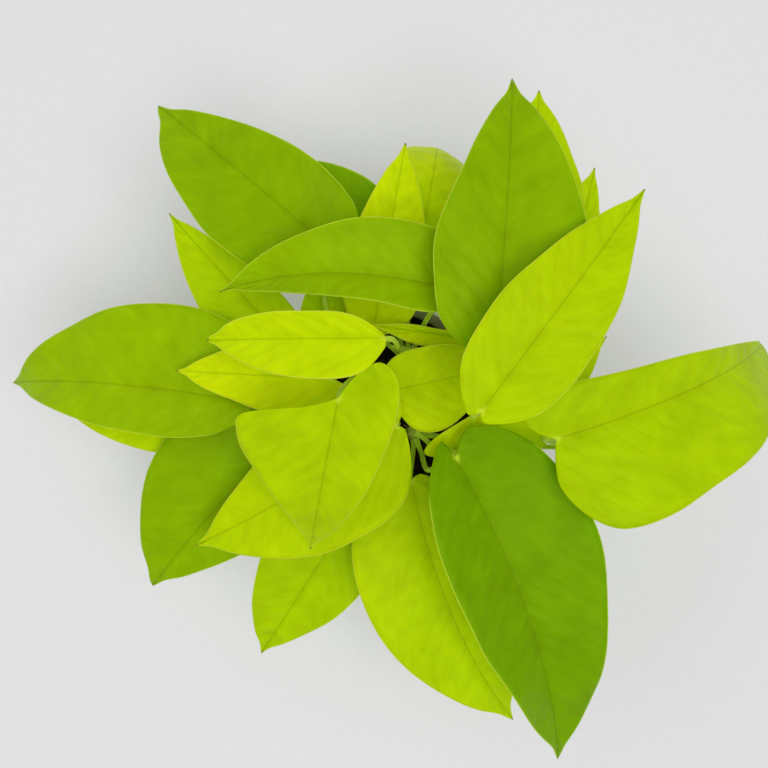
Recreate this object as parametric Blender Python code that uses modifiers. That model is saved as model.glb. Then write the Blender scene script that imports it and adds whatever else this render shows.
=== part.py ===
"""A neon pothos in a white plastic pot.

The plant is built from the pot outwards: a turned pot, the potting mix in it, six short
vines rising from the mix, and on each vine a few leaves. A leaf is two pieces, a stalk
(petiole) and a blade. Units are metres and degrees, +Z is up, and the origin is at the
middle of the pot's underside. Headings are measured in plan from +X, counter-clockwise.
"""

import math
from collections import namedtuple

import bmesh
import bpy
import numpy as np

# ---------------------------------------------------------------- driving dimensions
POT_HEIGHT = 0.095
RIM_DIAMETER = 0.112  # over the rolled rim
DRAWN_RIM_DIAMETER = 0.112  # the rim that the plant's layout below is written for
BASE_DIAMETER = 0.080
POT_WALL = 0.0018
POT_FLOOR = 0.0025
RIM_OVERHANG = 0.0025  # how far the rim stands out from the wall
RIM_DEPTH = 0.009
DRAIN_HOLE_DIAMETER = 0.008
DRAIN_HOLE_COUNT = 6
DRAIN_CIRCLE_SHARE = 0.62  # of the pot's base radius

SOIL_DROP = 0.018  # from the rim down to the potting mix
GAP = 0.0003  # between two pieces that touch
ROOT_GAP = 0.0004  # from a stalk's end to its vine

# The plant grows with its pot: its layout and its stems are scaled by PLANT_SCALE.
PLANT_SCALE = RIM_DIAMETER / DRAWN_RIM_DIAMETER
VINE_RADIUS = 0.0022 * PLANT_SCALE
STALK_RADIUS = 0.0012 * PLANT_SCALE
LEAVING_LENGTH = 0.008 * PLANT_SCALE  # how far a stalk keeps its first direction
ARRIVING_LENGTH = 0.012 * PLANT_SCALE  # and its last one, under the blade
BLADE_THICKNESS = 0.0007

# Blade outline: how fast it widens from the stalk, and its half width at the tip.
SHOULDER_POWER = 0.6
TIP_HALF_WIDTH = 0.0004

# Mesh fineness.
BLADE_ROWS = 11
BLADE_COLUMNS = 6
RIB_STEPS = 24
STALK_POINTS = 9
VINE_POINTS = 7
TURNED_STEPS = 48
AXIS_MERGE = 0.00005  # joins a turned profile's ends where they meet the axis

SOIL_TOP = POT_HEIGHT - SOIL_DROP

# ---------------------------------------------------------------- materials
Finish = namedtuple("Finish", "name colour roughness")
WHITE_PLASTIC = Finish("white_polypropylene", (0.86, 0.86, 0.84), 0.38)
POTTING_MIX = Finish("peat_potting_mix", (0.020, 0.014, 0.010), 0.95)
VINE_SKIN = Finish("vine_skin", (0.36, 0.50, 0.04), 0.50)
STALK_SKIN = Finish("stalk_skin", (0.45, 0.66, 0.03), 0.45)
OLD_BLADE = Finish("old_blade", (0.17, 0.36, 0.005), 0.38)
YOUNG_BLADE = Finish("young_blade", (0.44, 0.66, 0.012), 0.38)

# ---------------------------------------------------------------- the plant's layout
# Each vine: where it leaves the mix, and its top, both as (x, y, height above the mix).
VINES = [
    ((-0.010, 0.020, 0), (-0.014, 0.025, 0.030)),
    ((0.013, 0.024, 0), (0.015, 0.029, 0.030)),
    ((0.016, -0.008, 0), (0.015, -0.005, 0.030)),
    ((-0.008, -0.006, 0), (-0.010, -0.004, 0.015)),
    ((0.004, -0.026, 0), (0.006, -0.031, 0.018)),
    ((0.032, 0.014, 0), (0.034, 0.016, 0.022)),
]

# A leaf's blade starts at base, given as (x, y, height above the mix). The midrib climbs at
# rise degrees where it leaves the stalk and at fall degrees at the tip, and turns by bend
# degrees to the left on the way. Pairs give the left half, then the right: half is each
# half's width, fold the degrees it is lifted out of flat, lobe how far its heart-shaped heel
# reaches back past the stalk, taper how it narrows to the tip, from 0.8, full, to 1.45,
# straight, and heel how broad it starts, from 0, a point, to 0.35.
# The stalk leaves vine number vine at the height node, passes through the points of via, and
# climbs at arrive degrees where it meets the blade.
Leaf = namedtuple(
    "Leaf",
    "base heading length half rise fall bend fold lobe taper heel vine node via arrive young",
)


def leaf(base, heading, length, half, rise=0, fall=-15, bend=0, fold=(10, 10),
         lobe=(0.008, 0.008), taper=(1.12, 1.12), heel=(0.06, 0.06), vine=0, node=0.015, via=(),
         arrive=65, young=False):
    half, lobe = ([value * PLANT_SCALE for value in pair] for pair in (half, lobe))
    return Leaf(base, heading, length * PLANT_SCALE, half, rise, fall, bend, fold, lobe, taper,
                heel, vine, node * PLANT_SCALE, via, arrive, young)


LEAVES = [
    # back left
    leaf((-0.018, 0.070, 0.041), 140, 0.099, (0.029, 0.023), 5, -20, taper=(0.85, 1.15),
         vine=0, node=0.024, via=((-0.023, 0.052, 0.026),)),
    leaf((0.004, 0.077, 0.016), 149, 0.075, (0.020, 0.020), 0, -15,
         lobe=(0.002, 0.002), heel=(0.02, 0.02), vine=1, node=0.006,
         via=((0.006, 0.050, 0.020), (0.005, 0.064, 0.019)), arrive=-15),
    leaf((-0.002, 0.038, 0.025), 80, 0.080, (0.017, 0.019), 20, 0,
         lobe=(0.002, 0.002), heel=(0.02, 0.02), vine=1, node=0.011, young=True),
    leaf((0.017, 0.067, 0.025), 80, 0.082, (0.021, 0.027), 20, -110, taper=(0.9, 0.9),
         fold=(-10, -22),
         vine=1, node=0.015, via=((0.013, 0.046, 0.024),), arrive=30, young=True),
    # back
    leaf((0.045, 0.033, 0.075), 86, 0.101, (0.026, 0.031), 5, -20, taper=(1.2, 1.1),
         vine=5, node=0.0155, via=((0.053, 0.034, 0.040),)),
    leaf((0.030, 0.051, 0.063), 180, 0.094, (0.012, 0.022), 10, -20, bend=32,
         fold=(25, 10), vine=1, node=0.020,
         via=((0.0185, 0.038, 0.022), (0.024, 0.047, 0.040))),
    # left
    leaf((-0.040, 0.033, 0.027), 132, 0.075, (0.019, 0.013), 5, -10,
         heel=(0.06, 0.2), vine=0, node=0.015, young=True),
    leaf((-0.054, 0.007, 0.035), 176, 0.122, (0.020, 0.036), 5, -45, bend=15,
         fold=(10, 2), lobe=(0.002, 0.004), heel=(0.03, 0.06), vine=0, node=0.022, via=((-0.034, 0.018, 0.032),), arrive=20),
    leaf((0.0033, 0.0311, 0.095), 180, 0.068, (0.0150, 0.0108), -5, -25, fold=(18, 22),
         lobe=(0.0, 0.0), taper=(1.0, 0.75), heel=(0.03, 0.0), vine=1, node=0.029,
         via=((0.008, 0.030, 0.042),), young=True),
    leaf((-0.018, 0.017, 0.050), 177, 0.066, (0.015, 0.015), 0, -18,
         vine=0, node=0.0265, young=True),
    # front left
    leaf((-0.014, 0.0101, 0.083), -102, 0.071, (0.0225, 0.037), -20, -38, heel=(0.35, 0.35),
         lobe=(0.019, -0.008), taper=(1.0, 1.45), vine=0, node=0.030,
         via=((-0.0105, 0.017, 0.048),), young=True),
    leaf((0.008, -0.002, 0.047), -149, 0.100, (0.030, 0.024), 0, -18, bend=-10,
         fold=(10, 4), lobe=(0.002, 0.008), heel=(0.01, 0.06), vine=2, node=0.017, young=True),
    leaf((-0.026, 0.005, 0.021), -133, 0.114, (0.030, 0.038), 5, -25, bend=10,
         fold=(0, 4), taper=(1.1, 0.85), vine=3, node=0.013, arrive=35),
    leaf((-0.014, -0.044, 0.027), -122, 0.073, (0.022, 0.024), 0, -25,
         fold=(10, 15), taper=(1.2, 1), vine=4, node=0.012, young=True),
    # front right
    leaf((0.014, -0.025, 0.037), -67, 0.118, (0.028, 0.033), 5, -25, bend=25,
         lobe=(0.002, 0.002), heel=(0.02, 0.02), vine=2, node=0.010, young=True),
    leaf((0.031, -0.014, 0.057), -71, 0.141, (0.036, 0.0268), 5, -30, bend=-22,
         fold=(8, 28), lobe=(0.009, 0.0095), heel=(0.06, 0.004), vine=2, node=0.020,
         via=((0.021, -0.0205, 0.043),)),
    # right
    leaf((0.068, -0.006, 0.070), 22, 0.133, (0.0185, 0.040), 0, -70, bend=10,
         lobe=(0.011, 0.005), taper=(1.3, 1.12), heel=(0.30, 0.15), vine=2, node=0.024,
         via=((0.045, -0.010, 0.033), (0.077, -0.011, 0.042)), young=True),
    leaf((0.037, 0.005, 0.091), 53, 0.103, (0.020, 0.020), 0, -15, lobe=(0.004, 0.003),
         heel=(0.02, 0.02), vine=2, node=0.028,
         via=((0.034, 0.0035, 0.0315), (0.0465, 0.0105, 0.042)), young=True),
    leaf((0.026, -0.015, 0.044), 36, 0.085, (0.0092, 0.020), 5, -10, bend=18,
         lobe=(0.006, 0.002), heel=(0.25, 0.25), vine=2, node=0.0295, young=True),
    leaf((0.004, 0.012, 0.041), 12, 0.050, (0.0155, 0.0205), 0, -13,
         lobe=(0.003, 0.0), taper=(0.9, 1.25), heel=(0.05, 0.0), vine=0, node=0.023, young=True),
    # low at the back
    leaf((0.042, 0.034, 0.031), 172.5, 0.047, (0.0065, 0.003), 6, 2, fold=(35, 35),
         lobe=(0.002, 0.002), vine=5, node=0.0195, arrive=85, young=True),
    leaf((-0.022, 0.034, 0.021), 95, 0.034, (0.011, 0.013), 0, -5,
         lobe=(0.003, 0.003), vine=0, node=0.010, arrive=20, young=True),
    leaf((0.059, 0.067, 0.057), 85, 0.066, (0.020, 0.020), 0, -10,
         vine=5, node=0.0115, via=((0.058, 0.040, 0.035),), young=True),
    leaf((0.076, 0.050, 0.043), 76, 0.056, (0.014, 0.009), 5, -10,
         vine=5, node=0.0055, via=((0.053, 0.025, 0.028),), young=True),
    leaf((0.042, 0.062, 0.045), 88, 0.053, (0.018, 0.012), 0, -10,
         vine=5, node=0.0078, via=((0.0415, 0.036, 0.0235),)),
    leaf((-0.067, 0.008, 0.017), -178, 0.080, (0.022, 0.022), 0, -20,
         lobe=(0.003, 0.003), heel=(0.02, 0.02), vine=0, node=0.012,
         via=((-0.044, 0.024, 0.021), (-0.056, 0.018, 0.0205)), arrive=-25, young=True),
]


# ---------------------------------------------------------------- scene and materials
def clear_scene():
    for obj in list(bpy.data.objects):
        bpy.data.objects.remove(obj, do_unlink=True)


def new_collection(name):
    collection = bpy.data.collections.new(name)
    bpy.context.scene.collection.children.link(collection)
    return collection


def material(finish):
    """The finish as a Principled material, made once."""
    if finish.name in bpy.data.materials:
        return bpy.data.materials[finish.name]
    made = bpy.data.materials.new(finish.name)
    made.use_nodes = True
    shader = made.node_tree.nodes["Principled BSDF"]
    shader.inputs["Base Color"].default_value = (*finish.colour, 1)
    shader.inputs["Roughness"].default_value = finish.roughness
    shader.inputs["Metallic"].default_value = 0
    return made


def add_object(name, data, finish, collection):
    data.materials.append(material(finish))
    obj = bpy.data.objects.new(name, data)
    collection.objects.link(obj)
    return obj


# ---------------------------------------------------------------- turned pieces
def turned(name, profile, finish, collection):
    """A profile of (radius, height) points, top to bottom on the outside, turned about Z."""
    mesh = bpy.data.meshes.new(name)
    points = [(radius, 0, height) for radius, height in profile]
    mesh.from_pydata(points, [(i, i + 1) for i in range(len(points) - 1)], [])
    obj = add_object(name, mesh, finish, collection)
    screw = obj.modifiers.new("turn", "SCREW")
    screw.steps = screw.render_steps = TURNED_STEPS
    screw.use_merge_vertices = True
    screw.merge_threshold = AXIS_MERGE
    screw.use_smooth_shade = True
    return obj


def wall_radius(height):
    """The pot's outer radius below the rim, at a height above its underside."""
    top = RIM_DIAMETER / 2 - RIM_OVERHANG
    return BASE_DIAMETER / 2 + (top - BASE_DIAMETER / 2) * height / POT_HEIGHT


def outer_profile():
    """The outside of the pot, from the top of its rim down to the middle of its underside."""
    rim = RIM_DIAMETER / 2
    under_rim = POT_HEIGHT - RIM_DEPTH
    edge = POT_WALL / 2
    return [
        (rim - RIM_OVERHANG - edge, POT_HEIGHT),
        (rim - edge, POT_HEIGHT),
        (rim, POT_HEIGHT - edge),
        (rim, under_rim + edge),
        (rim - edge, under_rim),
        (wall_radius(under_rim), under_rim),
        (wall_radius(edge), edge),
        (BASE_DIAMETER / 2 - edge, 0),
        (0, 0),
    ]


def inner_profile():
    """The inside of the pot, from the middle of its floor up to the rim."""
    return [
        (0, POT_FLOOR),
        (wall_radius(POT_FLOOR) - POT_WALL, POT_FLOOR),
        (RIM_DIAMETER / 2 - RIM_OVERHANG - POT_WALL, POT_HEIGHT - POT_WALL / 2),
    ]


def drain_cutters(collection):
    """Upright cylinders through the pot's floor, in a ring round its solid middle."""
    cutters = []
    ring = BASE_DIAMETER / 2 * DRAIN_CIRCLE_SHARE
    for i in range(DRAIN_HOLE_COUNT):
        turn = 2 * math.pi * i / DRAIN_HOLE_COUNT
        shape = bmesh.new()
        bmesh.ops.create_cone(
            shape, cap_ends=True, segments=16, radius1=DRAIN_HOLE_DIAMETER / 2,
            radius2=DRAIN_HOLE_DIAMETER / 2, depth=3 * POT_FLOOR,
        )
        mesh = bpy.data.meshes.new(f"drain_cutter_{i + 1}")
        shape.to_mesh(mesh)
        shape.free()
        cutter = bpy.data.objects.new(mesh.name, mesh)
        cutter.location = (ring * math.cos(turn), ring * math.sin(turn), POT_FLOOR / 2)
        cutter.hide_render = True
        cutter.display_type = "WIRE"
        collection.objects.link(cutter)
        cutters.append(cutter)
    return cutters


def make_pot(collection, cutter_collection):
    profile = inner_profile() + outer_profile()
    pot = turned("pot", profile, WHITE_PLASTIC, collection)
    for cutter in drain_cutters(cutter_collection):
        cut = pot.modifiers.new(cutter.name, "BOOLEAN")
        cut.operation = "DIFFERENCE"
        cut.object = cutter
    return pot


def make_soil(collection):
    """The potting mix fills the pot to SOIL_TOP, a gap clear of its floor and wall."""
    inset = POT_WALL + GAP * 1.5
    low = POT_FLOOR + GAP
    profile = [
        (0, SOIL_TOP),
        (wall_radius(SOIL_TOP) - inset, SOIL_TOP),
        (wall_radius(low) - inset, low),
        (0, low),
    ]
    return turned("potting_mix", profile, POTTING_MIX, collection)


# ---------------------------------------------------------------- round stems
def smooth_route(points, count):
    """count points on a smooth (Catmull-Rom) curve through the given points."""
    knots = np.array(points, float)
    knots = np.vstack([2 * knots[0] - knots[1], knots, 2 * knots[-1] - knots[-2]])
    spans = len(knots) - 3
    route = []
    for t in np.linspace(0, spans, count):
        i = min(int(t), spans - 1)
        f = t - i
        a, b, c, d = knots[i : i + 4]
        route.append(
            0.5 * (2 * b + (c - a) * f + (2 * a - 5 * b + 4 * c - d) * f**2
                   + (3 * b - a - 3 * c + d) * f**3)
        )
    return np.array(route)


def even_route(points, count):
    """The smooth route, with its points the same distance apart."""
    fine = smooth_route(points, 60)
    run = np.concatenate([[0], np.cumsum(np.linalg.norm(np.diff(fine, axis=0), axis=1))])
    at = np.linspace(0, run[-1], count)
    return np.stack([np.interp(at, run, fine[:, k]) for k in range(3)], axis=1)


def tube(name, route, radius, sides, finish, collection):
    """A round stem along a route, closed at both ends."""
    curve = bpy.data.curves.new(name, "CURVE")
    curve.dimensions = "3D"
    curve.bevel_depth = radius
    curve.bevel_resolution = sides
    curve.use_fill_caps = True
    spline = curve.splines.new("POLY")
    spline.points.add(len(route) - 1)
    for point, place in zip(spline.points, route):
        point.co = (*place, 1)
    spline.use_smooth = True
    return add_object(name, curve, finish, collection)


def above_soil(place):
    """A layout point, whose height is above the mix, at the plant's scale in the pot's frame."""
    return np.array(place) * PLANT_SCALE + [0, 0, SOIL_TOP]


def vine_knots(number):
    """The vine's foot, a point straight above it, so that it leaves upright, and its top."""
    foot, top = (above_soil(place) for place in VINES[number])
    foot[2] += GAP
    upright = foot + [0, 0, 0.4 * (top[2] - foot[2])]
    return [foot, upright, top]


def make_vine(number, collection):
    route = even_route(vine_knots(number), VINE_POINTS)
    tube(f"vine_{number + 1}", route, VINE_RADIUS, 2, VINE_SKIN, collection)


# ---------------------------------------------------------------- blades
def unit(vector):
    return vector / np.linalg.norm(vector)


def midrib(spec):
    """Points along the midrib, with the forward, left and upward directions at each."""
    share = np.linspace(0, 1, RIB_STEPS + 1)
    pitch = np.radians(spec.rise + (spec.fall - spec.rise) * share**1.5)
    heading = np.radians(spec.heading + spec.bend * (share - 0.5))
    forward = np.stack(
        [np.cos(pitch) * np.cos(heading), np.cos(pitch) * np.sin(heading), np.sin(pitch)], 1
    )
    left = np.stack([-np.sin(heading), np.cos(heading), 0 * heading], 1)
    steps = (forward[:-1] + forward[1:]) / 2 * spec.length / RIB_STEPS
    points = above_soil(spec.base) + np.vstack([np.zeros(3), np.cumsum(steps, axis=0)])
    return points, forward, left, np.cross(forward, left)


def half_width(half, heel, taper, share):
    """The width of one half of the blade at a share of its length, stalk to tip."""
    def rule(at):
        return (at + heel) ** SHOULDER_POWER * (1 - at) ** taper

    widest = (SHOULDER_POWER - taper * heel) / (SHOULDER_POWER + taper)
    return TIP_HALF_WIDTH + half * rule(share) / rule(max(widest, 0))


def blade_point(spec, rib, share, side):
    """The place on the blade at a share of its length, with side from -1, right, to 1, left."""
    across = abs(side)
    pairs = (spec.half, spec.lobe, spec.fold, spec.taper, spec.heel)
    half, lobe, fold, taper, heel = (pair[side < 0] for pair in pairs)
    along = spec.length * share - lobe * (1 - share) ** 2 * (1 - (1 - across) ** 3)
    step = along / spec.length * RIB_STEPS
    i = int(min(max(step, 0), RIB_STEPS - 1))
    points, forward, left, normal = rib
    blend = min(max(step - i, 0), 1)
    place = points[i] + (points[i + 1] - points[i]) * blend
    place = place + forward[0] * min(along, 0)
    out = half_width(half, heel, taper, share) * across
    lift = math.radians(fold)
    sideways = left[i] * math.copysign(math.cos(lift), side) + normal[i] * math.sin(lift)
    return place + sideways * out


def make_blade(number, spec, collection):
    """A flat grid bent to the leaf's outline, folded along its midrib and given thickness."""
    rib = midrib(spec)
    shape = bmesh.new()
    bmesh.ops.create_grid(shape, x_segments=BLADE_ROWS, y_segments=BLADE_COLUMNS, size=1)
    for corner in shape.verts:
        corner.co = blade_point(spec, rib, (corner.co.x + 1) / 2, corner.co.y)
    mesh = bpy.data.meshes.new(f"leaf_{number:02d}")
    shape.to_mesh(mesh)
    shape.free()
    mesh.shade_smooth()
    finish = YOUNG_BLADE if spec.young else OLD_BLADE
    blade = add_object(mesh.name, mesh, finish, collection)
    solid = blade.modifiers.new("thickness", "SOLIDIFY")
    solid.thickness = BLADE_THICKNESS
    solid.offset = 0


# ---------------------------------------------------------------- leaf stalks
def cap_reach(direction, towards):
    """How far a stalk's flat end reaches in a direction, beyond its centre."""
    return STALK_RADIUS * math.sqrt(max(0, 1 - float(np.dot(direction, towards)) ** 2))


def stalk_end(spec):
    """Where the stalk stops under its blade, and the direction it arrives in."""
    points, forward, _, normal = (values[0] for values in midrib(spec))
    climb = math.radians(spec.arrive)
    level = unit(forward * [1, 1, 0])
    arrive = level * math.cos(climb) + np.array([0, 0, math.sin(climb)])
    clear = BLADE_THICKNESS / 2 + GAP + cap_reach(arrive, normal)
    return points - normal * clear, arrive


def stalk_start(spec, towards):
    """Where the stalk leaves its vine, on the side that faces the blade."""
    foot, _, top = vine_knots(spec.vine)
    share = spec.node / (top[2] - foot[2])
    fine = even_route(vine_knots(spec.vine), 61)
    at = fine[np.argmin(np.abs(fine[:, 2] - (foot[2] + share * (top[2] - foot[2]))))]
    out = towards - at
    out[2] = 0
    out = unit(out)
    leave = unit(out + np.array([0, 0, 0.6]))
    return at + out * (VINE_RADIUS + ROOT_GAP + cap_reach(leave, out)), leave


def make_stalk(number, spec, collection):
    end, arrive = stalk_end(spec)
    via = [above_soil(place) for place in spec.via]
    start, leave = stalk_start(spec, via[0] if via else end)
    bend = 0.25 * np.linalg.norm(end - start)
    leaving = start + leave * min(bend, LEAVING_LENGTH)
    arriving = end - arrive * min(bend, ARRIVING_LENGTH)
    route = even_route([start, leaving, *via, arriving, end], STALK_POINTS)
    tube(f"petiole_{number:02d}", route, STALK_RADIUS, 1, STALK_SKIN, collection)


def main():
    clear_scene()
    plant = new_collection("potted_pothos")
    make_pot(plant, new_collection("cutters"))
    make_soil(plant)
    for number in range(len(VINES)):
        make_vine(number, plant)
    for number, spec in enumerate(LEAVES, 1):
        make_blade(number, spec, plant)
        make_stalk(number, spec, plant)


main()
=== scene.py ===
# %% [markdown]
# # A neon pothos in a white nursery pot
# The real thing is a young houseplant: one plastic pot, dark potting mix, a few short vines,
# and on each vine some leaves that each stand on their own stalk. This lesson builds every
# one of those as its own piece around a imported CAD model, which says where each one sits.

import math
import random
from collections import namedtuple

import bmesh
import bpy
import numpy as np
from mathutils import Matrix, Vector, noise


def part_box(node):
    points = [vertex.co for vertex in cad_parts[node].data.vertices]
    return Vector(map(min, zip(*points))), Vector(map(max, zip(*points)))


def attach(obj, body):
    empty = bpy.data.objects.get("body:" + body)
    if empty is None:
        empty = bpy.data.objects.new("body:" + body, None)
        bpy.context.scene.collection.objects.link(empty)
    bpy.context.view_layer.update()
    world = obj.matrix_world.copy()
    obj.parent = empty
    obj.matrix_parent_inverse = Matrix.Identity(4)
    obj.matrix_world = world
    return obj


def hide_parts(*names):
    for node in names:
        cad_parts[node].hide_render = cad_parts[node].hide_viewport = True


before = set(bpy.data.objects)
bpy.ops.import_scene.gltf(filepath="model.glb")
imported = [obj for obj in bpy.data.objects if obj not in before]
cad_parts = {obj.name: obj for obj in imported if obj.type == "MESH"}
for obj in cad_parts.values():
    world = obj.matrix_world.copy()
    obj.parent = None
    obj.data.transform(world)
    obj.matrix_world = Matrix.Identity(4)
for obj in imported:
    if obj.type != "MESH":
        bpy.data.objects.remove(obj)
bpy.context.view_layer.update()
print("CAD nodes:", len(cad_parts))

# %% [markdown]
# Everything is in metres with +Z up. The pot and the mix give the heights that the plant is
# built on, so they are measured from the CAD nodes and not typed in again.

# %% Sizes read from the CAD model
MM = 0.001
POT_LOW, POT_HIGH = (Vector(corner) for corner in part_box("pot"))
RIM_RADIUS = (POT_HIGH.x - POT_LOW.x) / 2
POT_HEIGHT = POT_HIGH.z
SOIL_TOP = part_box("potting_mix")[1][2]
SOIL_RADIUS = (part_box("potting_mix")[1][0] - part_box("potting_mix")[0][0]) / 2
LAYOUT_RIM = 0.112  # the rim diameter that the plant's layout is given for
PLANT_SCALE = RIM_RADIUS * 2 / LAYOUT_RIM
print(f"rim {RIM_RADIUS * 2000:.0f} mm, mix at {SOIL_TOP * 1000:.0f} mm")

# %% [markdown]
# A colour picked on a screen is an sRGB value, but Blender computes light with linear ones.
# One function does that step for every colour here. A small pair of others adds a shader node
# with its properties and fills its sockets with values or links, so a material reads as a list.
# A last one ends every piece in the same way: faces outwards, smooth, on the frame's body.


# %% Helpers for colours and shader nodes
def linear(code):
    """An sRGB hex code as a linear colour with alpha."""
    shares = [int(code[i : i + 2], 16) / 255 for i in (0, 2, 4)]
    return (*[s / 12.92 if s <= 0.04045 else ((s + 0.055) / 1.055) ** 2.4 for s in shares], 1)


def feed(node, sockets):
    """Fills sockets, by name or number, with a value or with a link from a socket or a node."""
    for socket, value in sockets.items():
        if isinstance(value, bpy.types.Node):
            value = next(output for output in value.outputs if output.enabled)
        if isinstance(value, bpy.types.NodeSocket):
            node.id_data.links.new(value, node.inputs[socket])
        else:
            node.inputs[socket].default_value = value


def add(tree, kind, *values, sockets=None, **properties):
    """Adds a shader node. values fill its sockets in order, and the others are named."""
    node = tree.nodes.new("ShaderNode" + kind)
    for name, value in properties.items():
        setattr(node, name, value)
    feed(node, dict(enumerate(values)) | (sockets or {}))
    return node


def new_material(name):
    """An empty material, its node tree and its Principled shader."""
    made = bpy.data.materials.new(name)
    made.use_nodes = True
    return made, made.node_tree, made.node_tree.nodes["Principled BSDF"]


def two_tone(tree, pattern, low, high, first, second):
    """The first colour where a pattern is under low, the second over high, a blend between."""
    share = add(tree, "MapRange", pattern, low, high)
    return add(tree, "Mix", sockets={0: share, 6: first, 7: second}, data_type="RGBA")


def piece(name, shape, node=None):
    """A bmesh made an object that rides the frame and may stand in for a node."""
    bmesh.ops.recalc_face_normals(shape, faces=shape.faces)
    mesh = bpy.data.meshes.new(name)
    shape.to_mesh(mesh)
    shape.free()
    mesh.shade_smooth()
    made = bpy.data.objects.new(name, mesh)
    bpy.context.collection.objects.link(made)
    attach(made, "root")
    if node:
        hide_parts(node)
    return made


print("neon green as linear numbers:", [round(c, 3) for c in linear("B4DC0A")])

# %% [markdown]
# ## Where the plant's pieces sit
# A vine is a foot in the mix and a top. A leaf is a start point, a heading, a length and the
# widths of its two halves. These lists repeat the CAD model's own layout, so that a fine leaf
# lands on its plain CAD leaf. Heights are above the mix, angles are in degrees, and pairs give
# the left half and then the right one, as seen from the stalk towards the tip.

# %% The layout of vines and leaves
VINES = [
    ((-0.010, 0.020, 0), (-0.014, 0.025, 0.030)),
    ((0.013, 0.024, 0), (0.015, 0.029, 0.030)),
    ((0.016, -0.008, 0), (0.015, -0.005, 0.030)),
    ((-0.008, -0.006, 0), (-0.010, -0.004, 0.015)),
    ((0.004, -0.026, 0), (0.006, -0.031, 0.018)),
    ((0.032, 0.014, 0), (0.034, 0.016, 0.022)),
]

# base is where blade and stalk meet, rise and fall the slope there and at the tip, and bend
# the turn to the left between them. Of each half, fold is its tilt, lobe how far it reaches
# back past the stalk, taper how it narrows to the tip and heel how broad it starts. The stalk
# leaves its vine at the height node, goes by the points via and comes up at the angle arrive.
# tone runs from 0, an old dark leaf, to 1, a new bright one.
Leaf = namedtuple(
    "Leaf",
    "base heading length half rise fall bend fold lobe taper heel vine node via arrive tone",
)


def leaf(base, heading, length, half, rise=0, fall=-15, bend=0, fold=(10, 10),
         lobe=(0.008, 0.008), taper=(1.12, 1.12), heel=(0.06, 0.06), vine=0, node=0.015, via=(),
         arrive=65, tone=0.5):
    half, lobe = ([value * PLANT_SCALE for value in pair] for pair in (half, lobe))
    return Leaf(base, heading, length * PLANT_SCALE, half, rise, fall, bend, fold, lobe, taper,
                heel, vine, node * PLANT_SCALE, via, arrive, tone)


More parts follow.
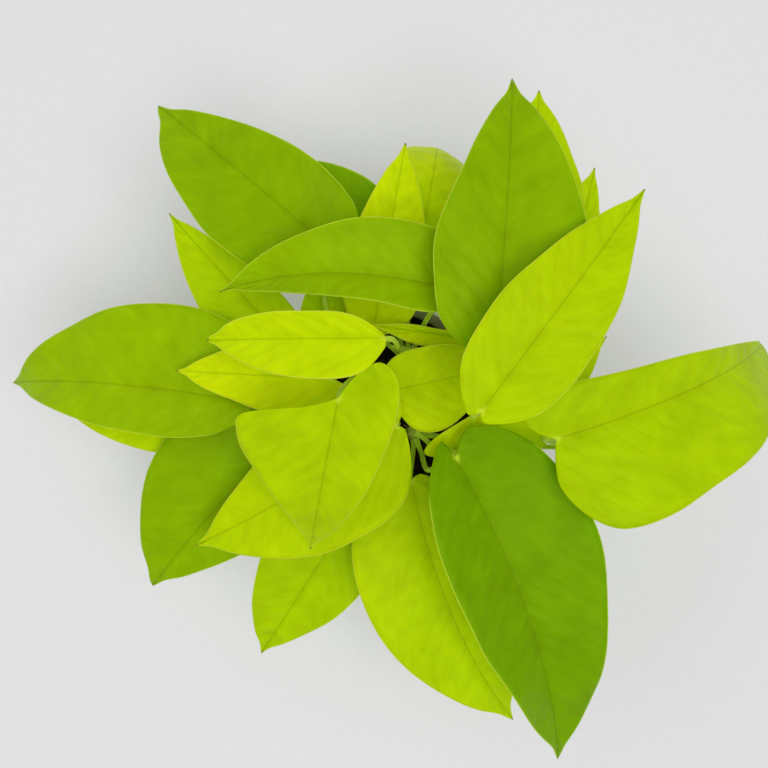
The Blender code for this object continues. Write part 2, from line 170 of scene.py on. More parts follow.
LEAVES = [
    # back left
    leaf((-0.018, 0.070, 0.041), 140, 0.099, (0.029, 0.023), 5, -20, taper=(0.85, 1.15),
         vine=0, node=0.024, via=((-0.023, 0.052, 0.026),), tone=0.26),
    # its low tone is partly its own old green and partly painted shade
    leaf((0.004, 0.077, 0.016), 149, 0.075, (0.020, 0.020), 0, -15,
         lobe=(0.002, 0.002), heel=(0.02, 0.02), vine=1, node=0.006,
         via=((0.006, 0.050, 0.020), (0.005, 0.064, 0.019)), arrive=-15, tone=0.18),
    leaf((-0.002, 0.038, 0.025), 80, 0.080, (0.017, 0.019), 20, 0,
         lobe=(0.002, 0.002), heel=(0.02, 0.02), vine=1, node=0.011, tone=1.0),
    leaf((0.017, 0.067, 0.025), 80, 0.082, (0.021, 0.027), 20, -110, taper=(0.9, 0.9),
         fold=(-10, -22),
         vine=1, node=0.015, via=((0.013, 0.046, 0.024),), arrive=30, tone=0.95),
    # back
    leaf((0.045, 0.033, 0.075), 86, 0.101, (0.026, 0.031), 5, -20, taper=(1.2, 1.1),
         vine=5, node=0.0155, via=((0.053, 0.034, 0.040),), tone=0.26),
    leaf((0.030, 0.051, 0.063), 180, 0.094, (0.012, 0.022), 10, -20, bend=32,
         fold=(25, 10), vine=1, node=0.020,
         via=((0.0185, 0.038, 0.022), (0.024, 0.047, 0.040)), tone=0.32),
    # left
    leaf((-0.040, 0.033, 0.027), 132, 0.075, (0.019, 0.013), 5, -10,
         heel=(0.06, 0.2), vine=0, node=0.015, tone=0.72),
    leaf((-0.054, 0.007, 0.035), 176, 0.122, (0.020, 0.036), 5, -45, bend=15,
         fold=(10, 2), lobe=(0.002, 0.004), heel=(0.03, 0.06), vine=0, node=0.022,
         via=((-0.034, 0.018, 0.032),), arrive=20, tone=0.38),
    leaf((0.0033, 0.0311, 0.095), 180, 0.068, (0.0150, 0.0108), -5, -25, fold=(18, 22),
         lobe=(0.0, 0.0), taper=(1.0, 0.75), heel=(0.03, 0.0), vine=1, node=0.029,
         via=((0.008, 0.030, 0.042),), tone=0.85),
    leaf((-0.018, 0.017, 0.050), 177, 0.066, (0.015, 0.015), 0, -18,
         vine=0, node=0.0265, tone=1.0),
    # front left
    leaf((-0.014, 0.0101, 0.083), -102, 0.071, (0.0225, 0.037), -20, -38, heel=(0.35, 0.35),
         lobe=(0.019, -0.008), taper=(1.0, 1.45), vine=0, node=0.030,
         via=((-0.0105, 0.017, 0.048),), tone=0.65),
    leaf((0.008, -0.002, 0.047), -149, 0.100, (0.030, 0.024), 0, -18, bend=-10,
         fold=(10, 4), lobe=(0.002, 0.008), heel=(0.01, 0.06), vine=2, node=0.017, tone=0.72),
    leaf((-0.026, 0.005, 0.021), -133, 0.114, (0.030, 0.038), 5, -25, bend=10,
         fold=(0, 4), taper=(1.1, 0.85), vine=3, node=0.013, arrive=35, tone=0.28),
    leaf((-0.014, -0.044, 0.027), -122, 0.073, (0.022, 0.024), 0, -25,
         fold=(10, 15), taper=(1.2, 1), vine=4, node=0.012, tone=0.60),
    # front right
    leaf((0.014, -0.025, 0.037), -67, 0.118, (0.028, 0.033), 5, -25, bend=25,
         lobe=(0.002, 0.002), heel=(0.02, 0.02), vine=2, node=0.010, tone=0.70),
    leaf((0.031, -0.014, 0.057), -71, 0.141, (0.036, 0.0268), 5, -30, bend=-22,
         fold=(8, 28), lobe=(0.009, 0.0095), heel=(0.06, 0.004), vine=2, node=0.020,
         via=((0.021, -0.0205, 0.043),), tone=0.10),
    # right
    leaf((0.068, -0.006, 0.070), 22, 0.133, (0.0185, 0.040), 0, -70, bend=10,
         lobe=(0.011, 0.005), taper=(1.3, 1.12), heel=(0.30, 0.15), vine=2, node=0.024,
         via=((0.045, -0.010, 0.033), (0.077, -0.011, 0.042)), tone=0.60),
    leaf((0.037, 0.005, 0.091), 53, 0.103, (0.020, 0.020), 0, -15, lobe=(0.004, 0.003),
         heel=(0.02, 0.02), vine=2, node=0.028,
         via=((0.034, 0.0035, 0.0315), (0.0465, 0.0105, 0.042)), tone=0.66),
    leaf((0.026, -0.015, 0.044), 36, 0.085, (0.0092, 0.020), 5, -10, bend=18,
         lobe=(0.006, 0.002), heel=(0.25, 0.25), vine=2, node=0.0295, tone=1.0),
    leaf((0.004, 0.012, 0.041), 12, 0.050, (0.0155, 0.0205), 0, -13,
         lobe=(0.003, 0.0), taper=(0.9, 1.25), heel=(0.05, 0.0), vine=0, node=0.023, tone=0.85),
    # low at the back
    leaf((0.042, 0.034, 0.031), 172.5, 0.047, (0.0065, 0.003), 6, 2, fold=(35, 35),
         lobe=(0.002, 0.002), vine=5, node=0.0195, arrive=85, tone=1.0),
    leaf((-0.022, 0.034, 0.021), 95, 0.034, (0.011, 0.013), 0, -5,
         lobe=(0.003, 0.003), vine=0, node=0.010, arrive=20, tone=0.75),
    leaf((0.059, 0.067, 0.057), 85, 0.066, (0.020, 0.020), 0, -10,
         vine=5, node=0.0115, via=((0.058, 0.040, 0.035),), tone=0.70),
    leaf((0.076, 0.050, 0.043), 76, 0.056, (0.014, 0.009), 5, -10,
         vine=5, node=0.0055, via=((0.053, 0.025, 0.028),), tone=0.80),
    leaf((0.042, 0.062, 0.045), 88, 0.053, (0.018, 0.012), 0, -10,
         vine=5, node=0.0078, via=((0.0415, 0.036, 0.0235),), tone=0.40),
    leaf((-0.067, 0.008, 0.017), -178, 0.080, (0.022, 0.022), 0, -20,
         lobe=(0.003, 0.003), heel=(0.02, 0.02), vine=0, node=0.012,
         via=((-0.044, 0.024, 0.021), (-0.056, 0.018, 0.0205)), arrive=-25, tone=0.85),
]
print(len(VINES), "vines and", len(LEAVES), "leaves")

# %% [markdown]
# ## The leaf blade
# A pothos blade is a thin sheet that bends along its midrib, folds a little into a V across
# it, and puffs up between its side veins like a quilt. It could be a sculpted plane, but 26
# different leaves are better made by one rule: first the midrib as a curve in space, then an
# outline rule that gives the width at every share of the length, then the small relief.

# %% The midrib and the outline
RIB_STEPS = 60
SHOULDER_POWER = 0.6  # how fast the blade widens from its stalk
TIP_HALF_WIDTH = 0.0002
DRIP_PINCH = 0.3  # how much the tip is drawn in just before its point
DRIP_AT = 0.95  # of the length, where it is drawn in the most
DRIP_SPREAD = 0.05
FALL_POWER = 1.5  # above 1, the blade droops mostly towards its tip
HEEL_ROUND_SHARE = 0.14  # of the length, over which the heel's corners are rounded
HEEL_ROUND_FROM = 0.45  # of the half width


def above_soil(place):
    """A layout point, whose height is above the mix, in the frame's metres."""
    return np.array(place) * PLANT_SCALE + [0, 0, SOIL_TOP]


def midrib(spec):
    """Points along the midrib, with the forward, left and upward directions at each."""
    share = np.linspace(0, 1, RIB_STEPS + 1)
    pitch = np.radians(spec.rise + (spec.fall - spec.rise) * share**FALL_POWER)
    heading = np.radians(spec.heading + spec.bend * (share - 0.5))
    forward = np.stack(
        [np.cos(pitch) * np.cos(heading), np.cos(pitch) * np.sin(heading), np.sin(pitch)], 1
    )
    left = np.stack([-np.sin(heading), np.cos(heading), 0 * heading], 1)
    steps = (forward[:-1] + forward[1:]) / 2 * spec.length / RIB_STEPS
    points = above_soil(spec.base) + np.vstack([np.zeros(3), np.cumsum(steps, axis=0)])
    return points, forward, left, np.cross(forward, left)


def half_width(half, heel, taper, share):
    """The width of one half of the blade, which ends in a drawn-out drip tip."""
    def rule(at):
        return (at + heel) ** SHOULDER_POWER * (1 - at) ** taper

    widest = (SHOULDER_POWER - taper * heel) / (SHOULDER_POWER + taper)
    drip = 1 - DRIP_PINCH * math.exp(-(((share - DRIP_AT) / DRIP_SPREAD) ** 2))
    return TIP_HALF_WIDTH + half * drip * rule(share) / rule(max(widest, 0))


def round_heel(share, across):
    """Moves a spot near the heel's corner inwards, so that each lobe ends in a round."""
    back = max(0, 1 - share / HEEL_ROUND_SHARE)
    side = max(0, (across - HEEL_ROUND_FROM) / (1 - HEEL_ROUND_FROM))
    if back and side:
        back, side = back * math.sqrt(1 - side**2 / 2), side * math.sqrt(1 - back**2 / 2)
        share = HEEL_ROUND_SHARE * (1 - back)
        across = HEEL_ROUND_FROM + (1 - HEEL_ROUND_FROM) * side
    return share, across


print("midrib of leaf 1 ends at", np.round(midrib(LEAVES[0])[0][-1], 3))

# %% [markdown]
# The relief is what makes a leaf look alive. The midrib runs in a narrow channel. Side veins
# leave it at a slant and curve towards the tip, and the tissue between two of them swells by a
# fraction of a millimetre. Near the margin the sheet waves gently, because it grew faster there.

# %% The relief of a blade
VEIN_SPACING = 0.0085
VEIN_SLANT = 0.8  # how far forward a side vein runs for each step sideways
VEIN_SWEEP = 0.010  # how much further forward it has curved at the margin
VEIN_STRAY = (0.020, 0.030)  # the size of the patches, out and along, that veins stray over
PUFF_PATCH = (0.015, 0.012)  # and of those that puff up more or less
QUILT_HEIGHT = 0.00065
CHANNEL_DEPTH = 0.0006
CHANNEL_WIDTH = 0.0014
KNOB_HEIGHT = 0.0012  # the swollen end of the stalk, which shows through the blade's base
KNOB_LENGTH = 0.0030
KNOB_WIDTH = 0.0016
WAVE_LENGTH = 0.046
WAVE_HEIGHT = 0.0012
SWELL_LENGTH = 0.022
SWELL_HEIGHT = 0.0016


def patches(out, along, size, seed):
    """Smooth noise over the leaf, from about -1 to 1."""
    return noise.noise(Vector((out / size[0], along / size[1], seed)))


def vein_count(number, along, out, across):
    """Counts side veins from the stalk: a whole number is on a vein, and a half is between two."""
    sweep_on = VEIN_SLANT * abs(out) + VEIN_SWEEP * across**2.5
    stray = patches(out, along, VEIN_STRAY, 7 * number)
    return (along - sweep_on) / VEIN_SPACING + 0.5 * (out > 0) + 0.5 * stray


def relief(number, spec, vein, along, out, across):
    """How far the sheet stands off its plain shape, at a distance along and out from the midrib."""
    strength = 0.75 + 0.6 * patches(out, along, PUFF_PATCH, 3 * number)
    quilt = QUILT_HEIGHT * strength * (abs(math.sin(math.pi * vein)) ** 0.8 - 0.5)
    quilt *= min(1, across * 4) * (1 - across**4)
    channel = -CHANNEL_DEPTH * math.exp(-((out / CHANNEL_WIDTH) ** 2))
    channel *= 1 - 0.7 * along / spec.length
    knob = math.exp(-((along / KNOB_LENGTH) ** 2) - (out / KNOB_WIDTH) ** 2)
    channel += KNOB_HEIGHT * knob
    wave = math.sin(2 * math.pi * along / WAVE_LENGTH + 2.4 * number + (out > 0)) * across**3
    wave *= WAVE_HEIGHT * math.sin(math.pi * min(max(along / spec.length, 0), 1))
    swell = SWELL_HEIGHT * patches(out, along, (SWELL_LENGTH, SWELL_LENGTH), number)
    return quilt + channel + wave + swell * min(1, across * 3)


print(f"a blade puffs up by {QUILT_HEIGHT * 1000} mm every {VEIN_SPACING * 1000} mm")

# %% [markdown]
# The sheet is a grid of rows across the leaf. Rows are closer together near the stalk and the
# tip, and columns near the midrib, where the shape turns fastest. Each vertex also stores where
# it is on the leaf, in millimetres from the midrib, from the stalk, from the margin and from
# the tip, so that the material can draw details of real size on leaves of any size.

# %% Build one blade
YOUNG_FROM = 0.5  # the tone above which a leaf counts as young
BLADE_THICKNESS = 0.0005
ROWS = 64
COLUMNS = 13  # on each half
RIDGE_HEIGHT = 0.0009  # how far the midrib stands out below the blade
RIDGE_WIDTH = 0.0012
EDGE_WANDER = 0.06  # how far a margin strays from its rule, as a share of the half width
EDGE_THINNESS = 0.35  # of the thickness, right at the margin
EDGE_REACH = 0.0012
EVEN_ROWS = 0.35  # the share of evenness in the rows, beside their crowding at the ends
RIB_CROWDING = 1.3  # above 1, columns crowd towards the midrib


def blade_grid(number, spec):
    """Rows of (place, upward direction, vein count, along, out, margin) over the blade."""
    points, forward, left, normal = midrib(spec)
    rows = []
    for row in range(ROWS + 1):
        share = row / ROWS
        crowded = (1 - math.cos(math.pi * share)) / 2
        share = EVEN_ROWS * share + (1 - EVEN_ROWS) * crowded
        line = []
        for column in range(-COLUMNS, COLUMNS + 1):
            right = column < 0
            at, across = round_heel(share, abs(column / COLUMNS) ** RIB_CROWDING)
            half, lobe, fold, taper, heel = (
                pair[right] for pair in (spec.half, spec.lobe, spec.fold, spec.taper, spec.heel)
            )
            width = half_width(half, heel, taper, at)
            width *= 1 + EDGE_WANDER * noise.noise(Vector((at * 4, right, 5 * number)))
            along = spec.length * at - lobe * (1 - at) ** 2 * (1 - (1 - across) ** 3)
            step = min(max(along / spec.length * RIB_STEPS, 0), RIB_STEPS - 1e-6)
            i = int(step)
            place = points[i] + (points[i + 1] - points[i]) * (step - i)
            place = place + forward[0] * min(along, 0)
            lift = math.radians(fold)
            side = -1 if right else 1
            sideways = left[i] * side * math.cos(lift) + normal[i] * math.sin(lift)
            up = normal[i] * math.cos(lift) - left[i] * side * math.sin(lift) * min(1, across * 8)
            place = place + sideways * width * across
            out = side * width * across
            vein = vein_count(number, along, out, across)
            place = place + up * relief(number, spec, vein, along, out, across)
            line.append((place, up, vein, along, out, width * (1 - across)))
        rows.append(line)
    return rows


def make_blade(number, spec):
    rows = blade_grid(number, spec)
    shape = bmesh.new()
    spot = shape.verts.layers.float_vector.new("leaf_place")
    kind = shape.verts.layers.float_vector.new("leaf_kind")
    count = shape.verts.layers.float.new("leaf_vein")
    sheets = []
    for below in (False, True):
        sheet = []
        for line in rows:
            verts = []
            for place, up, vein, along, out, margin in line:
                rounding = min(1, EDGE_THINNESS + margin / EDGE_REACH)
                offset = BLADE_THICKNESS / 2 * rounding
                if below:
                    ridge = RIDGE_HEIGHT * (1 - along / spec.length)
                    offset = -offset - ridge * math.exp(-((out / RIDGE_WIDTH) ** 2))
                vert = shape.verts.new(place + up * offset)
                vert[spot] = (out / MM, along / MM, margin / MM)
                vert[kind] = (spec.tone, (spec.length - along) / MM, number)
                vert[count] = vein
                verts.append(vert)
            sheet.append(verts)
        sheets.append(sheet)
    top, bottom = sheets
    for a, b in zip(top, top[1:]):
        for i in range(len(a) - 1):
            shape.faces.new((a[i], b[i], b[i + 1], a[i + 1]))
    for a, b in zip(bottom, bottom[1:]):
        for i in range(len(a) - 1):
            shape.faces.new((a[i], a[i + 1], b[i + 1], b[i]))
    for rim in (lambda s: s[0][::-1], lambda s: s[-1], lambda s: [r[0] for r in s],
                lambda s: [r[-1] for r in s][::-1]):
        over, under = rim(top), rim(bottom)
        for i in range(len(over) - 1):
            shape.faces.new((over[i + 1], over[i], under[i], under[i + 1]))
    return piece(f"blade_{number:02d}", shape, f"leaf_{number:02d}")


blades = [make_blade(number, spec) for number, spec in enumerate(LEAVES, 1)]
print(len(blades), "blades of", len(blades[0].data.vertices), "vertices")

# %% [markdown]
# ## The leaf's skin
# A living pothos leaf has a thin waxy skin (cuticle) over wet green tissue. The wax gives it a
# soft, broad highlight, about that of satin paint, and an index of refraction near 1.45. The
# tissue is half a millimetre thick, so light enters it, turns yellow-green and comes out again
# on both sides: that is subsurface scattering, with red and green light travelling furthest.
# The pale line along the margin, painted shade in the midrib channel, the fine side veins,
# partly their own darker colour and partly painted shade in the quilt's valleys, and streaks of
# painted light and shade over the quilt's puffs come from the stored millimetres.

# %% Colours and sizes of the blade's pattern
OLD_GREEN = linear("6A9A00")
NEW_GREEN = linear("D2EA00")
MARGIN_GREEN = linear("D8F048")
KNOB_GREEN = linear("D8EC3C")  # where the stalk's end shows through
CORK_BROWN = linear("5E4A12")

# lengths on the leaf, all in mm
CLOUD_SIZE = 15.0
STREAK_WIDTH = 5.5
STREAK_LENGTH = 11.0
CELL_SIZE = 0.7  # leaf cells are ten times finer: drawn as coarse as they need to show
MARGIN_WIDTH = 0.55
# the width of the painted shade along the midrib channel
RIB_SHADE_WIDTH = 0.6
SPECK_SPACING = 26.0
SPECK_SIZE = 0.45
TIP_BROWN_LENGTH = 1.2

# how strongly each one shows
CLOUD_CONTRAST = 0.34
# the streaks paint the light and shade of the quilt's puffs
STREAK_PAINTED_LIGHT = 0.22
DARKEST = 0.72
VEIN_SHARPNESS = 5.0  # how narrow the drawn side veins are
# the side veins' own darker colour, with painted shade in the quilt's valleys
VEIN_COLOUR_AND_SHADE = 0.09
# painted shade in the midrib's channel, on top of its modelled dip
RIB_CHANNEL_SHADE = 0.45
MARGIN_PALENESS = 0.7
SPECK_DARKNESS = 0.6
QUILT_SHARE = 0.13  # of the quilt in the bump, beside the finer streaks
KNOB_FADE_OUT = 0.45  # for each mm from the midrib
KNOB_FADE_ALONG = 0.25  # for each mm from the stalk
print("a new leaf's green as linear numbers:", [round(c, 3) for c in NEW_GREEN])


# %% The blade's material
def leaf_noise(tree, across, along, number, detail):
    """Noise laid out on the leaf, from two lengths in noise cells and the leaf's number."""
    seed = add(tree, "Math", number, 7.3, operation="MULTIPLY")  # far apart, so no two match
    place = add(tree, "CombineXYZ", across, along, seed)
    return add(tree, "TexNoise", place, sockets={"Scale": 1.0, "Detail": detail})


def fading(tree, length, reach):
    """1 at no distance, falling to 0 at a reach in mm."""
    share = add(tree, "Math", length, reach, operation="DIVIDE")
    return add(tree, "Math", 1, share, operation="SUBTRACT", use_clamp=True)


def tinted(tree, skin, mask, strength, colour):
    """The skin with a colour laid over it where a mask is 1."""
    share = add(tree, "Math", mask, strength, operation="MULTIPLY")
    return add(tree, "Mix", sockets={0: share, 6: skin, 7: colour}, data_type="RGBA")


def blade_skin(name, gloss):
    """Waxy leaf skin: a soft satin gloss over tissue that light enters and leaves again."""
    made, tree, shader = new_material(name)
    spot = add(tree, "Attribute", attribute_name="leaf_place").outputs["Vector"]
    traits = add(tree, "Attribute", attribute_name="leaf_kind").outputs["Vector"]
    vein = add(tree, "Attribute", attribute_name="leaf_vein").outputs["Fac"]
    out, along, margin = add(tree, "SeparateXYZ", spot).outputs
    tone, to_tip, number = add(tree, "SeparateXYZ", traits).outputs
    distance = add(tree, "Math", out, operation="ABSOLUTE")

    # soft clouds, and fainter streaks of painted light and shade that lie along the side veins,
    # where the quilt puffs up
    lag = add(tree, "Math", distance, -VEIN_SLANT, along, operation="MULTIPLY_ADD")
    run = add(tree, "Math", along, VEIN_SLANT, distance, operation="MULTIPLY_ADD")
    clouds = leaf_noise(tree, add(tree, "Math", out, CLOUD_SIZE, operation="DIVIDE"),
                        add(tree, "Math", along, CLOUD_SIZE, operation="DIVIDE"), number, 2.0)
    streaks = leaf_noise(tree, add(tree, "Math", lag, STREAK_WIDTH, operation="DIVIDE"),
                         add(tree, "Math", run, STREAK_LENGTH, operation="DIVIDE"), number, 1.0)
    light = add(tree, "Math", clouds, CLOUD_CONTRAST, DARKEST, operation="MULTIPLY_ADD")
    light = add(tree, "Math", streaks, STREAK_PAINTED_LIGHT, light, operation="MULTIPLY_ADD")
    green = add(tree, "Mix", sockets={0: tone, 6: OLD_GREEN, 7: NEW_GREEN}, data_type="RGBA")
    skin = add(tree, "VectorMath", sockets={0: green, 3: light}, operation="SCALE")

    # the side veins: a thin darker line in each valley of the quilt, partly the veins' own colour
    # and partly painted shade
    turn = add(tree, "Math", vein, math.pi, operation="MULTIPLY")
    puff = add(tree, "Math", add(tree, "Math", turn, operation="SINE"), operation="ABSOLUTE")
    line = add(tree, "Math", puff, -VEIN_SHARPNESS, 1, operation="MULTIPLY_ADD", use_clamp=True)
    shade = add(tree, "VectorMath", sockets={0: skin, 3: 0.6}, operation="SCALE")
    skin = tinted(tree, skin, line, VEIN_COLOUR_AND_SHADE, shade)

    # painted shade in the midrib's channel, the stalk's end showing through, and the pale margin
    shade = add(tree, "VectorMath", sockets={0: skin, 3: 0.55}, operation="SCALE")
    skin = tinted(tree, skin, fading(tree, distance, RIB_SHADE_WIDTH), RIB_CHANNEL_SHADE, shade)
    reach = add(tree, "Math", add(tree, "Math", along, operation="ABSOLUTE"), KNOB_FADE_ALONG,
                operation="MULTIPLY")
    reach = add(tree, "Math", distance, KNOB_FADE_OUT, reach, operation="MULTIPLY_ADD")
    skin = tinted(tree, skin, fading(tree, reach, 1), 1, KNOB_GREEN)
    skin = tinted(tree, skin, fading(tree, margin, MARGIN_WIDTH), MARGIN_PALENESS, MARGIN_GREEN)

    # a few corky specks, and the dry brown point of the drip tip
    specks = add(tree, "TexVoronoi", spot, sockets={"Scale": 1 / SPECK_SPACING})
    size = add(tree, "Math", specks.outputs["Color"], SPECK_SIZE / SPECK_SPACING,
               operation="MULTIPLY")
    speck = add(tree, "Math", specks.outputs["Distance"], size, operation="LESS_THAN")
    skin = tinted(tree, skin, speck, SPECK_DARKNESS, CORK_BROWN)
    skin = tinted(tree, skin, fading(tree, to_tip, TIP_BROWN_LENGTH), 1, CORK_BROWN)

    # the quilt and the streaks lift the surface, and the cells roughen it
    cells = add(tree, "TexNoise", spot, sockets={"Scale": 1 / CELL_SIZE, "Detail": 3.0})
    quilt = add(tree, "Math", puff, QUILT_SHARE, streaks, operation="MULTIPLY_ADD")
    puffs = add(tree, "Bump", sockets={"Height": quilt, "Strength": 0.6, "Distance": 0.0012})
    bump = add(tree, "Bump", sockets={"Height": cells, "Strength": 0.15, "Distance": 0.0003,
                                      "Normal": puffs})
    rough = add(tree, "Math", clouds, 0.16, gloss, operation="MULTIPLY_ADD")
    feed(shader, {
        "Base Color": skin, "Roughness": rough, "Normal": bump, "IOR": 1.45,
        "Specular IOR Level": 0.18, "Specular Tint": linear("DCF46C"),
        "Subsurface Weight": 0.5, "Subsurface Radius": (0.6, 1.0, 0.1),
        "Subsurface Scale": 0.0014,
    })
    return made


OLD_SKIN = blade_skin("pothos_blade_old", 0.34)
NEW_SKIN = blade_skin("pothos_blade_new", 0.38)
for blade, spec in zip(blades, LEAVES):
    blade.data.materials.append(NEW_SKIN if spec.tone > YOUNG_FROM else OLD_SKIN)
print("blade skins:", OLD_SKIN.name, NEW_SKIN.name)

# %% [markdown]
# ## Stalks
# A leaf stalk is not a plain rod. It is channelled along its upper side, two thin wings of
# sheath run up the edges of that channel, and it swells where it turns up into the blade. A
# bevelled curve can't do that, so the section is swept along the route by hand: a ring of
# points at each step, whose radius depends on the angle round the stalk and the share of its
# length.

# %% Routes and a swept skin
STALK_RADIUS = 0.0012 * PLANT_SCALE
VINE_RADIUS = 0.0022 * PLANT_SCALE
LEAVING_LENGTH = 0.008 * PLANT_SCALE
ARRIVING_LENGTH = 0.012 * PLANT_SCALE
UNDER_BLADE = 0.0025  # how far the stalk's end runs on under the blade


def smooth_route(points, count):
    """count points on a smooth (Catmull-Rom) curve through the given points, evenly spaced."""
    knots = np.array(points, float)
    knots = np.vstack([2 * knots[0] - knots[1], knots, 2 * knots[-1] - knots[-2]])
    spans = len(knots) - 3
    fine = []
    for t in np.linspace(0, spans, 200):
        i = min(int(t), spans - 1)
        f = t - i
        a, b, c, d = knots[i : i + 4]
        fine.append(
            0.5 * (2 * b + (c - a) * f + (2 * a - 5 * b + 4 * c - d) * f**2
                   + (3 * b - a - 3 * c + d) * f**3)
        )
    run = np.concatenate([[0], np.cumsum(np.linalg.norm(np.diff(fine, axis=0), axis=1))])
    at = np.linspace(0, run[-1], count)
    return np.stack([np.interp(at, run, np.array(fine)[:, k]) for k in range(3)], axis=1)


def sweep(route, radius_at, sides, upward):
    """A closed skin round a route. radius_at(share, angle) gives its radius, angle 0 being up."""
    shape = bmesh.new()
    spot = shape.verts.layers.float_vector.new("stem_place")
    ahead = np.gradient(route, axis=0)
    rings = []
    up = np.array(upward, float)
    run = 0
    for i, place in enumerate(route):
        direction = ahead[i] / np.linalg.norm(ahead[i])
        up = up - direction * float(up @ direction)
        up = up / np.linalg.norm(up)
        side = np.cross(direction, up)
        share = i / (len(route) - 1)
        if i:
            run += np.linalg.norm(place - route[i - 1])
        ring = []
        for k in range(sides):
            angle = 2 * math.pi * k / sides
            out = up * math.cos(angle) + side * math.sin(angle)
            vert = shape.verts.new(place + out * radius_at(share, angle))
            vert[spot] = (angle, run / MM, share)
            ring.append(vert)
        rings.append(ring)
    for a, b in zip(rings, rings[1:]):
        for k in range(sides):
            shape.faces.new((a[k - 1], a[k], b[k], b[k - 1]))
    shape.faces.new(rings[0][::-1])
    shape.faces.new(rings[-1])
    return shape


print("stalks are", round(STALK_RADIUS * 2000, 1), "mm thick")


# %% Build the stalks
STALK_RINGS = 40
STALK_SIDES = 20
CHANNEL_CUT = 0.28  # all as shares of the stalk's radius
WING_RISE = 0.38
KNEE_SWELL = 0.12
BASE_SWELL = 0.45
WING_ANGLE = 0.75  # radians from the top of the stalk
WING_END = 0.75  # of the stalk's length
KNEE_AT = 0.88  # of the stalk's length, where it turns up into the blade


def unit(vector):
    return vector / np.linalg.norm(vector)


def vine_knots(number):
    """The vine's foot, a point straight above it, so that it leaves upright, and its top."""
    foot, top = (above_soil(place) for place in VINES[number])
    upright = foot + [0, 0, 0.4 * (top[2] - foot[2])]
    return [foot, upright, top]


def stalk_route(spec):
    """From inside the vine's skin to the underside of the blade."""
    points, forward, _, normal = (values[0] for values in midrib(spec))
    climb = math.radians(spec.arrive)
    arrive = unit(forward * [1, 1, 0]) * math.cos(climb) + np.array([0, 0, math.sin(climb)])
    end = points + forward * UNDER_BLADE - normal * (BLADE_THICKNESS + STALK_RADIUS * 0.6)
    via = [above_soil(place) for place in spec.via]
    foot, _, top = vine_knots(spec.vine)
    fine = smooth_route(vine_knots(spec.vine), 61)
    at = fine[np.argmin(np.abs(fine[:, 2] - foot[2] - spec.node))]
    out = unit(((via[0] if via else end) - at) * [1, 1, 0])
    leave = unit(out + np.array([0, 0, 0.6]))
    start = at + out * VINE_RADIUS * 0.7
    bend = 0.25 * np.linalg.norm(end - start)
    leaving = start + leave * min(bend, LEAVING_LENGTH)
    arriving = end - arrive * min(bend, ARRIVING_LENGTH)
    return smooth_route([start, leaving, *via, arriving, end], STALK_RINGS), out


def stalk_radius(share, angle):
    """A round rod with a channel on its upper side, sheath wings beside it and a swollen end."""
    turn = min(angle, 2 * math.pi - angle)
    radius = 0.95 - 0.15 * share
    radius -= CHANNEL_CUT * math.exp(-((turn / 0.40) ** 2))
    wing = max(0, 1 - share / WING_END)
    radius += WING_RISE * wing * math.exp(-(((turn - WING_ANGLE) / 0.20) ** 2))
    radius += KNEE_SWELL * math.exp(-(((share - KNEE_AT) / 0.05) ** 2))
    radius += BASE_SWELL * math.exp(-((share / 0.06) ** 2))
    return STALK_RADIUS * radius


def make_stalk(number, spec):
    route, out = stalk_route(spec)
    shape = sweep(route, stalk_radius, STALK_SIDES, [0, 0, 1] - 0.3 * out)
    return piece(f"stalk_{number:02d}", shape, f"petiole_{number:02d}")


stalks = [make_stalk(number, spec) for number, spec in enumerate(LEAVES, 1)]
print(len(stalks), "stalks")

# %% [markdown]
# ## Vines
# A vine is thicker than a stalk and jointed: each leaf leaves from a slightly swollen node,
# with a tan ring where its sheath was, and below it a stub of aerial root. The same sweep makes
# it, with a radius that swells at the heights where leaves start.

# %% Build the vines
VINE_RINGS = 60
VINE_SIDES = 28
NODE_SWELL = 0.22
NODE_LENGTH = 0.0018
ROOT_STUB_LENGTH = 0.0030
ROOT_STUB_RADIUS = 0.0006


def make_vine(number):
    foot, _, top = vine_knots(number)
    height = top[2] - foot[2]
    nodes = [spec.node / height for spec in LEAVES if spec.vine == number]

    def radius_at(share, angle):
        swell = max(math.exp(-(((share - node) * height / NODE_LENGTH) ** 2)) for node in nodes)
        flute = 0.03 * math.cos(5 * angle)
        close = 1 if share < 0.97 else 0.75
        return VINE_RADIUS * (1 + NODE_SWELL * swell + flute) * close

    sunk = [foot - [0, 0, 0.004], *vine_knots(number)]
    shape = sweep(smooth_route(sunk, VINE_RINGS), radius_at, VINE_SIDES, [1, 0.2, 0])
    return piece(f"stem_{number + 1}", shape, f"vine_{number + 1}")


def make_root_stub(number, spec):
    """A short aerial root under a node, on the side away from its leaf."""
    route, out = stalk_route(spec)
    place = route[0] - out * VINE_RADIUS * 1.5 - [0, 0, NODE_LENGTH]
    point = place - out * ROOT_STUB_LENGTH - [0, 0, ROOT_STUB_LENGTH * 0.6]
    middle = (place + point) / 2 - [0, 0, 0.0002]

    def radius_at(share, angle):
        return ROOT_STUB_RADIUS * (1 - share**2 * 0.8 + 0.06 * math.cos(3 * angle))

    shape = sweep(smooth_route([place, middle, point], 8), radius_at, 10, [0, 0, 1])
    return piece(f"root_stub_{number:02d}", shape)


vines = [make_vine(number) for number in range(len(VINES))]
stubs = [make_root_stub(number, spec) for number, spec in enumerate(LEAVES, 1)]
print(len(vines), "vines and", len(stubs), "root stubs")

# %% [markdown]
# Stems have the leaf's waxy skin over wet tissue, drawn out along their length: pale streaks
# where fibres run, and a slightly duller gloss on the older vine. An aerial root is corky and
# dry. One function makes all three, because only their colours and their gloss differ.

# %% The skin of stalks and vines
STREAKS_ROUND = 3.0  # for each radian round the stem
STREAKS_ALONG = 0.12  # for each mm, so a streak is about 8 mm long


